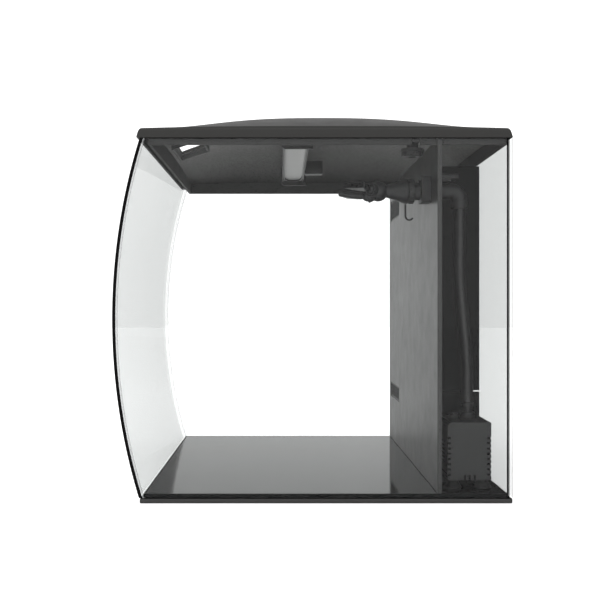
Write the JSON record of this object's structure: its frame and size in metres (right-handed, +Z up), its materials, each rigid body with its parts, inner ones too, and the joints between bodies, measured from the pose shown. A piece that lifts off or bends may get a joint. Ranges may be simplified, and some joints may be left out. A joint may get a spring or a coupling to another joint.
{
  "type": "aquarium",
  "caption": "Small glass aquarium with a vertically bowed front, a domed lift-off lid with a lamp, and a rear filter compartment with pump, hose and two swivelling nozzles.",
  "frame": {"origin": "centre of the bounding box's footprint, on the surface that the tank stands on", "axes": "+Z up; the bowed front faces -Y; the right side, nearest the pump, faces +X"},
  "size_m": [0.3508, 0.3304, 0.3391],
  "materials": {
    "trim": "satin",
    "floor_glass": "gloss",
    "clear_glass": "gloss",
    "silicone": "satin",
    "filter_wall": "fine grain",
    "divider": "fine grain",
    "grille": "satin",
    "cartridge": "satin",
    "foam": "open-cell foam",
    "carbon": "mesh bag of granules",
    "ceramic": "mesh bag of rings",
    "pump": "satin",
    "pump_cover": "satin",
    "fittings": "satin",
    "rubber": "matte",
    "hose": "satin",
    "shaft": "polished",
    "magnet": "satin",
    "nozzles": "satin",
    "lid": "satin",
    "lid_inner": "fine grain",
    "lamp": "satin",
    "diffuser": "frosted",
    "board": "solder mask",
    "screws": "polished"
  },
  "bodies": {
    "tank": {"base_trim": "trim", "bottom_glass": "floor_glass", "front_glass": "clear_glass", "rear_glass": "clear_glass", "left_glass": "clear_glass", "right_glass": "clear_glass", "front_silicone_right": "silicone", "front_silicone_left": "silicone", "rear_silicone_right": "silicone", "rear_silicone_left": "silicone", "bottom_silicone": "silicone", "rear_partition": "filter_wall", "divider_upper": "divider", "divider_lower": "divider", "lower_intake_grille": "grille", "upper_intake_grille": "grille", "pump_body": "pump", "pump_cover": "pump_cover", "outlet_collar": "fittings", "hose_barb": "fittings", "elbow": "fittings", "bulkhead_nut": "fittings", "pipe_clip": "fittings", "wall_bracket": "fittings", "neck_tube": "fittings", "collar_nut": "fittings", "suction_cup_front_left": "rubber", "suction_cup_front_right": "rubber", "suction_cup_rear_left": "rubber", "suction_cup_rear_right": "rubber", "pump_lead_gland": "rubber", "front_shaft_bush": "rubber", "rear_shaft_bush": "rubber", "hose": "hose", "rotor_shaft": "shaft"},
    "lid": {"lid_cover": "lid", "lid_rim": "lid_inner", "feed_opening_collar": "lid_inner", "lamp_housing": "lamp", "lamp_bracket_right": "lamp", "lamp_bracket_left": "lamp", "lamp_junction_box": "lamp", "lamp_lead_gland": "lamp", "lamp_diffuser": "diffuser", "led_board": "board", "lamp_screw_right_front": "screws", "lamp_screw_right_rear": "screws", "lamp_screw_left_front": "screws", "lamp_screw_left_rear": "screws"},
    "cartridge": {"cartridge_frame": "cartridge", "cartridge_handle": "cartridge", "foam_block": "foam", "carbon_bag": "carbon", "ceramic_media_bag": "ceramic"},
    "rotor": {"pump_rotor": "magnet"},
    "flow_dial": {"flow_dial": "fittings"},
    "manifold": {"manifold": "nozzles", "swivel_lever": "nozzles"},
    "upper_nozzle": {"upper_nozzle": "nozzles"},
    "lower_nozzle": {"lower_nozzle": "nozzles"}
  },
  "joints": [
    {"name": "lid_lift", "type": "slide", "parent": "tank", "child": "lid", "axis": [0, 0, 1], "range_m": [0, 0.06]},
    {"name": "cartridge_lift", "type": "slide", "parent": "tank", "child": "cartridge", "axis": [0, 0, 1], "range_m": [0, 0.02]},
    {"name": "rotor_spin", "type": "hinge", "parent": "tank", "child": "rotor", "pos_m": [0.1305, 0.1186, 0.0375], "axis": [0, 1, 0], "continuous": true},
    {"name": "flow_dial_turn", "type": "hinge", "parent": "tank", "child": "flow_dial", "pos_m": [0.1305, 0.1243, 0.0651], "axis": [0, 0, 1], "range_deg": [-60, 60]},
    {"name": "manifold_swivel", "type": "hinge", "parent": "tank", "child": "manifold", "pos_m": [0.1305, 0.084, 0.2627], "axis": [0, 1, 0], "range_deg": [-40, 40]},
    {"name": "upper_nozzle_turn", "type": "hinge", "parent": "manifold", "child": "upper_nozzle", "pos_m": [0.13764, 0.05126, 0.26352], "axis": [0, 0, 1], "range_deg": [-20, 20]},
    {"name": "lower_nozzle_turn", "type": "hinge", "parent": "manifold", "child": "lower_nozzle", "pos_m": [0.12795, 0.04951, 0.25861], "axis": [0, 0, 1], "range_deg": [-15, 20]}
  ]
}
